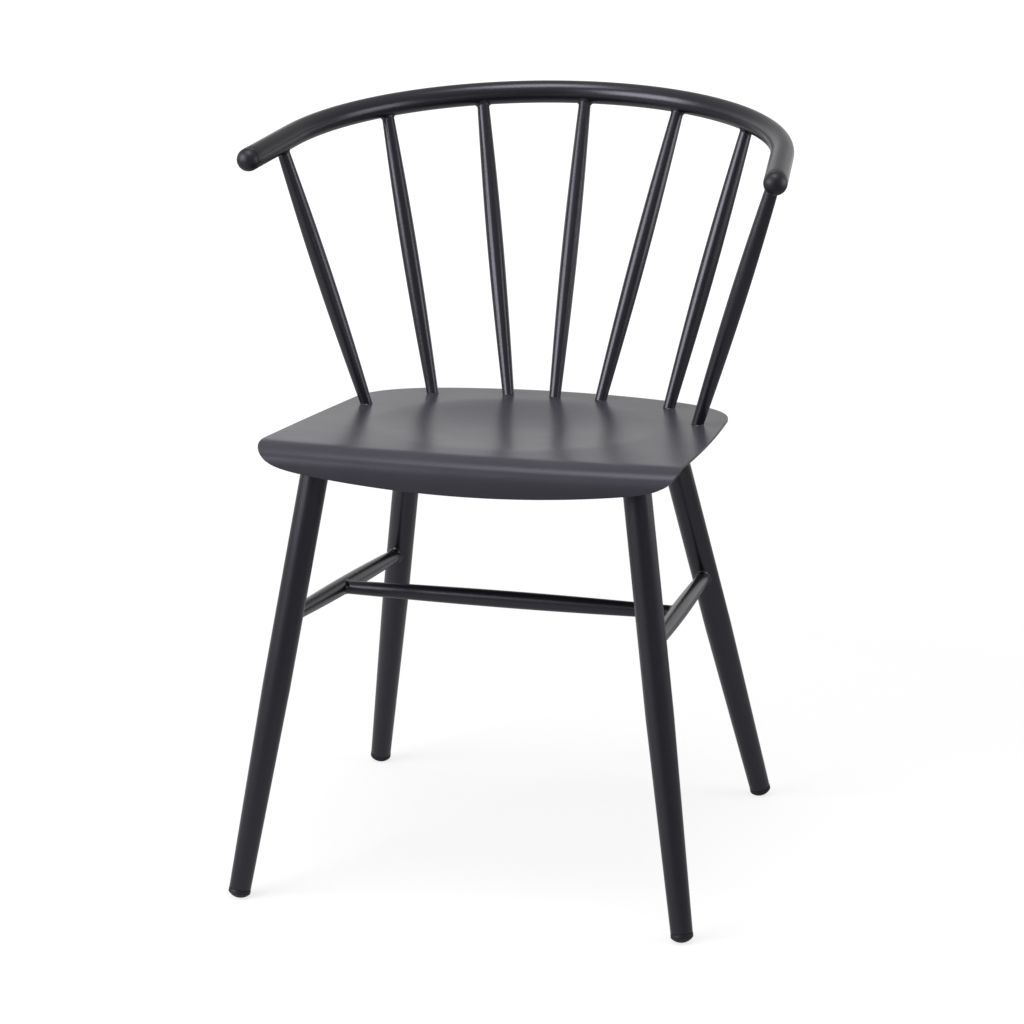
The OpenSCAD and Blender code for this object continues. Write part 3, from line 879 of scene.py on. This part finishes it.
def bow_surface(point):
    """Signed distance from the bow's surface."""
    s = sizes()
    side = RIGHT if point.x >= 0 else LEFT
    forward = Vector((0, math.cos(s.bow_pitch), math.sin(s.bow_pitch)))
    to = point - bend_centre()
    turn = math.atan2(abs(to.x), to.dot(forward))
    run = min(turn, s.bow_turn) * s.bow_r
    if turn > s.bow_turn:
        bend_end, end = arm_ends(side)
        run += min(max((point - bend_end).dot((end - bend_end).normalized()), 0), s.arm_len)
    return (point - bow_point(side, run)).length - s.bow_d / 2


def seat_surface(point):
    """Signed distance from the seat's top."""
    return (point.z - seat_height(point.x, point.y)) * math.cos(seat_fall(point.y))


def rail_plane():
    """A point of the rails' underside on the middle line, and the direction that points up from it."""
    s = sizes()
    (front_x, front_y), (back_x, back_y) = LEG_TOPS["front"], LEG_TOPS["back"]
    y = (front_y + back_y) / 2 * MM
    fall = seat_fall(y)
    part = (s.dish_y - front_y * MM) / ((back_y - front_y) * MM)
    inner = (front_x + part * (back_x - front_x)) * MM - s.rail_w / 2
    drop = (s.sheet_t + RAIL_GAP) / math.cos(fall) + dish(inner, s.dish_y) + RAIL_EASE
    up = Vector((0, math.sin(fall), math.cos(fall)))
    return Vector((0, y, seat_top(y) - drop)) - up * s.rail_t, up


def rail_under(point):
    """Signed distance below the rails' underside."""
    at, up = rail_plane()
    return (at - point).dot(up)


def rail_hit(end):
    """Where a right leg's axis meets the rails' underside."""
    at, up = rail_plane()
    low = foot(RIGHT, end)
    run = leg_top(RIGHT, end) - low
    return low + run * ((at - low).dot(up) / run.dot(up))


def slope(distance, point):
    """Direction in which a distance grows fastest."""
    steps = [SLOPE_STEP * Vector(axis) for axis in ((1, 0, 0), (0, 1, 0), (0, 0, 1))]
    return Vector([distance(point + step) - distance(point - step) for step in steps]).normalized()


def bead_toes(turn, end, away, radius, distance, leg):
    """A bead's root at one turn round its tube, its toes on the tube and on the surface, and the way out."""
    run = (away - end).normalized()
    heading = turn / BEAD_TURNS * math.tau
    out = along(end, away).to_3x3() @ Vector((math.cos(heading), math.sin(heading), 0))
    low, high = 0.0, BEAD_REACH
    for _ in range(BEAD_TRIES):
        middle = (low + high) / 2
        if distance(end + run * middle + out * radius(middle)) > 0:
            high = middle
        else:
            low = middle
    root = end + run * high + out * radius(high)
    size = leg * (1 + RIPPLE_SHARE * math.sin(heading * RIPPLES))
    upper = end + run * (high + size) + out * radius(high + size)
    up = slope(distance, root)
    side = root + (out - up * out.dot(up)).normalized() * size
    side -= slope(distance, side) * distance(side)
    return root, upper, side, out


def bead_point(step, root, upper, side, out, distance):
    """A point of a bead's section: over its face from toe to toe, and back inside the pieces."""
    half = BEAD_SECTION // 2
    up = slope(distance, side)
    if step <= half:
        t = step / half
        start, stop = upper - out * BEAD_SINK * (1 - t) ** 3, side - up * BEAD_SINK * t ** 3
        knee = root + ((upper + side) / 2 - root) * BEAD_FULLNESS
    else:
        t = (step - half) / half
        start, stop = side - up * BEAD_SINK, upper - out * BEAD_SINK
        knee = root - out * BEAD_ROOT - slope(distance, root) * BEAD_ROOT
    return start * (1 - t) ** 2 + 2 * knee * t * (1 - t) + stop * t ** 2


def weld_bead(name, end, away, radius, distance, leg):
    """A bead round the joint between a tube's end and a surface, laid on a torus that is fitted to both."""
    let_go()
    bpy.ops.mesh.primitive_torus_add(
        major_segments=BEAD_TURNS, minor_segments=BEAD_SECTION, major_radius=1, minor_radius=0.25)
    bead = new_piece(name)
    toes = [bead_toes(turn, end, away, radius, distance, leg) for turn in range(BEAD_TURNS)]
    for point in bead.data.vertices:
        x, y, z = point.co
        turn = round(math.atan2(y, x) / math.tau * BEAD_TURNS) % BEAD_TURNS
        step = round(math.atan2(z, math.hypot(x, y) - 1) / math.tau % 1 * BEAD_SECTION) % BEAD_SECTION
        point.co = bead_point(step, *toes[turn], distance)
    face_outwards(bead)
    smooth(bead, 70)
    return bead


class CHAIR_OT_welds(bpy.types.Operator):
    """Models the coated weld beads where tubes meet each other, the bow, the seat and the rails"""

    bl_idname = "chair.welds"
    bl_label = "Welds"

    def execute(self, context):
        s = sizes()
        coat = finish_named("Frame_powder_coat")
        spindle, stretcher = (s.spindle_end_d, s.spindle_d), (s.stretcher_end_d, s.stretcher_d)
        joints = []
        for rank in range(4):
            base, top = spindle_line(rank)
            span = (top - base).length
            low = base - (top - base).normalized() * FOOT_SKIP
            thick = swelled_radius(*spindle, span)
            joints.append((f"Weld_spindle_top_{rank}", top, base, thick, bow_surface, s.weld_leg))
            thick = swelled_radius(*spindle, span, FOOT_SKIP)
            joints.append((f"Weld_spindle_foot_{rank}", low, top, thick, seat_surface, s.weld_foot))
        front, back = stretcher_end(RIGHT, "front"), stretcher_end(RIGHT, "back")
        thick = swelled_radius(*stretcher, (back - front).length)
        side_stretcher = tube_surface(front, back, thick)
        for name, end, far in (("front", front, back), ("back", back, front)):
            leg = tube_surface(foot(RIGHT, name), leg_top(RIGHT, name), lambda run: s.leg_d / 2)
            joints.append((f"Weld_stretcher_{name}", end, far, thick, leg, s.weld_leg))
        near, far = cross_end(RIGHT), cross_end(LEFT)
        thick = swelled_radius(*stretcher, (far - near).length)
        joints.append(("Weld_cross", near, far, thick, side_stretcher, s.weld_leg))
        for end in ("front", "back"):
            low, top = foot(RIGHT, end), rail_hit(end)
            joints.append((f"Weld_leg_{end}", top, low, lambda run: s.leg_d / 2, rail_under, s.weld_leg))
        for name, end, *fit in joints:
            right = weld_bead(name + "_right", end, *fit)
            finished(right, "frame_coat", coat)
            if end.x > 1 * MM:  # the middle spindle's beads have no mirror image
                finished(mirrored(right, name + "_left", 70), "frame_coat", coat)
        return {"FINISHED"}


class CHAIR_OT_frame_finish(bpy.types.Operator):
    """Gives the frame's own nodes their finishes"""

    bl_idname = "chair.frame_finish"
    bl_label = "Frame finishes"

    def execute(self, context):
        coats = {"seat_shell": "Sheet_coat_with_painted_light", "seat_studs": "Zinc_plate", "seat_nuts": "Zinc_plate"}
        for name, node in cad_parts.items():
            kind = coats.get(name, "Frame_powder_coat")
            if name.startswith("bow_cap"):
                kind = "Cap_plastic"
            elif name.startswith("glide"):
                kind = "Glide_plastic"
            for place in node.material_slots:
                place.material = finish_named(kind)
        return {"FINISHED"}


# Stage

def lay_floor(st):
    """Lays the floor: a glow lifts it to white for the camera, and a part of the glow shows in reflections."""
    let_go()
    bpy.ops.mesh.primitive_plane_add(size=FLOOR_SIZE, location=(0, 0, 0))
    floor = new_piece("Studio_floor")
    settle(floor)
    material, tree, shader = new_material("Floor_white")
    path = tree.add("ShaderNodeLightPath", {}).outputs
    axes = tree.add("ShaderNodeSeparateXYZ", {0: tree.place}).outputs
    reach = tree.add("ShaderNodeVectorMath", {0: tree.place}, operation="LENGTH").outputs["Value"]
    glow = tree.ramp(reach, GLOW_REACH, (st.floor_glow, 1))
    near = tree.ramp(reach, FEET_REACH, (st.front_floor + FEET_GLOW, st.front_floor))
    near = tree.reckon("ADD", near, tree.ramp(axes["X"], *FLOOR_SIDES))
    far = tree.reckon("MAXIMUM", tree.ramp(axes["Y"], *FLOOR_BACK), tree.ramp(axes["X"], *FLOOR_RIGHT))
    reflected = tree.reckon("MULTIPLY", path["Is Glossy Ray"], tree.reckon("MAXIMUM", near, far))
    seen = tree.reckon("MAXIMUM", path["Is Camera Ray"], reflected)
    seen = tree.reckon("MAXIMUM", seen, path["Is Transmission Ray"])
    tree.fill(shader, {
        "Base Color": (*st.floor, 1),
        "Roughness": 1,
        "Specular IOR Level": 0,
        "Emission Color": (1, 1, 1, 1),
        "Emission Strength": tree.reckon("MULTIPLY", seen, glow),
    })
    floor.data.materials.append(material)


def light_room(st):
    """Lights the room: bright low behind the chair, dim in front, and white for the camera."""
    world = bpy.data.worlds.new("Studio_world")
    bpy.context.scene.world = world
    world.use_nodes = True
    tree = Wiring(world.node_tree, "Generated")
    path = tree.add("ShaderNodeLightPath", {}).outputs
    rise = tree.add("ShaderNodeSeparateXYZ", {0: tree.place}).outputs["Z"]
    behind = tree.part_along((-math.sin(st.azimuth), math.cos(st.azimuth), 0))
    sideways = tree.part_along((math.cos(st.azimuth), math.sin(st.azimuth), 0))
    wall = tree.ramp(rise, CEILING_RISE, (st.back_wall, st.ceiling))
    for part, change in ((rise, LOW_WALL), (behind, BACK_WALL), (sideways, RIGHT_WALL)):
        wall = tree.reckon("MULTIPLY", wall, tree.ramp(part, *change))
    around = tree.reckon("MAXIMUM", wall, tree.ramp(rise, OVERHEAD_RISE, (st.front_wall, OVERHEAD)))
    seen = tree.reckon("MAXIMUM", around, path["Is Camera Ray"])
    seen = tree.reckon("MAXIMUM", seen, path["Is Transmission Ray"])
    tree.fill(tree.nodes["Background"], {"Color": (1, 1, 1, 1), "Strength": seen})


def add_lamp(name, towards, distance, width, height, power):
    """Adds a rectangular soft lamp that looks at the chair from a direction."""
    towards = Vector(towards).normalized()
    data = bpy.data.lights.new(name, "AREA")
    data.shape = "RECTANGLE"
    data.size, data.size_y, data.energy = width, height, power
    lamp = bpy.data.objects.new(name, data)
    lamp.location = LAMPS_AIM + towards * distance
    lamp.rotation_euler = towards.to_track_quat("Z", "Y").to_euler()
    bpy.context.scene.collection.objects.link(lamp)


def set_camera(st):
    """Sets the camera at its place, as its three angles turn it."""
    a, e, r = st.azimuth, st.elevation, st.roll
    back = Vector((math.sin(a) * math.cos(e), -math.cos(a) * math.cos(e), math.sin(e)))
    level = Vector((0, 0, 1)).cross(back).normalized()
    upright = back.cross(level)
    right = level * math.cos(r) + upright * math.sin(r)
    up = upright * math.cos(r) - level * math.sin(r)
    data = bpy.data.cameras.new("Camera")
    data.sensor_width, data.sensor_fit, data.lens = 36, "HORIZONTAL", st.lens
    data.clip_end = 200
    camera = bpy.data.objects.new("Camera", data)
    turn = Matrix((right, up, back)).transposed()
    camera.matrix_world = Matrix.Translation(Vector(st.camera_at)) @ turn.to_4x4()
    bpy.context.scene.collection.objects.link(camera)
    bpy.context.scene.camera = camera


class CHAIR_OT_stage(bpy.types.Operator):
    """Sets out the floor, the room, the lamps and the camera"""

    bl_idname = "chair.stage"
    bl_label = "Stage"

    def execute(self, context):
        st = context.scene.chair_stage
        lay_floor(st)
        light_room(st)
        for lamp in LAMPS:
            add_lamp(*lamp)
        set_camera(st)
        context.scene.view_settings.view_transform = "Standard"
        return {"FINISHED"}


OPERATORS = (
    CHAIR_OT_seat, CHAIR_OT_spindles, CHAIR_OT_stretchers, CHAIR_OT_bow, CHAIR_OT_caps,
    CHAIR_OT_glides, CHAIR_OT_welds, CHAIR_OT_frame_finish, CHAIR_OT_stage,
)


class VIEW3D_PT_chair(bpy.types.Panel):
    """Lists the chair's sizes, its finishes and the steps that model it"""

    bl_label = "Metal Dining Chair"
    bl_space_type = "VIEW_3D"
    bl_region_type = "UI"
    bl_category = "Chair"

    def draw(self, context):
        layout = self.layout
        for operator in OPERATORS:
            layout.operator(operator.bl_idname)
        for group in (context.scene.chair_sizes, context.scene.chair_finish, context.scene.chair_stage):
            box = layout.box()
            for key in group.__annotations__:
                box.prop(group, key)


CLASSES = (ChairSizes, ChairFinish, ChairStage, *OPERATORS, VIEW3D_PT_chair)


def register():
    """Adds the chair's classes and its settings."""
    for each in CLASSES:
        bpy.utils.register_class(each)
    bpy.types.Scene.chair_sizes = PointerProperty(type=ChairSizes)
    bpy.types.Scene.chair_finish = PointerProperty(type=ChairFinish)
    bpy.types.Scene.chair_stage = PointerProperty(type=ChairStage)


def unregister():
    """Takes the chair's settings and classes away."""
    del bpy.types.Scene.chair_stage
    del bpy.types.Scene.chair_finish
    del bpy.types.Scene.chair_sizes
    for each in reversed(CLASSES):
        bpy.utils.unregister_class(each)


def main():
    """Models the chair step by step."""
    register()
    bpy.ops.chair.seat()
    bpy.ops.chair.spindles()
    bpy.ops.chair.stretchers()
    bpy.ops.chair.bow()
    bpy.ops.chair.caps()
    bpy.ops.chair.glides()
    bpy.ops.chair.welds()
    bpy.ops.chair.frame_finish()
    bpy.ops.chair.stage()


if __name__ == "__main__":
    main()
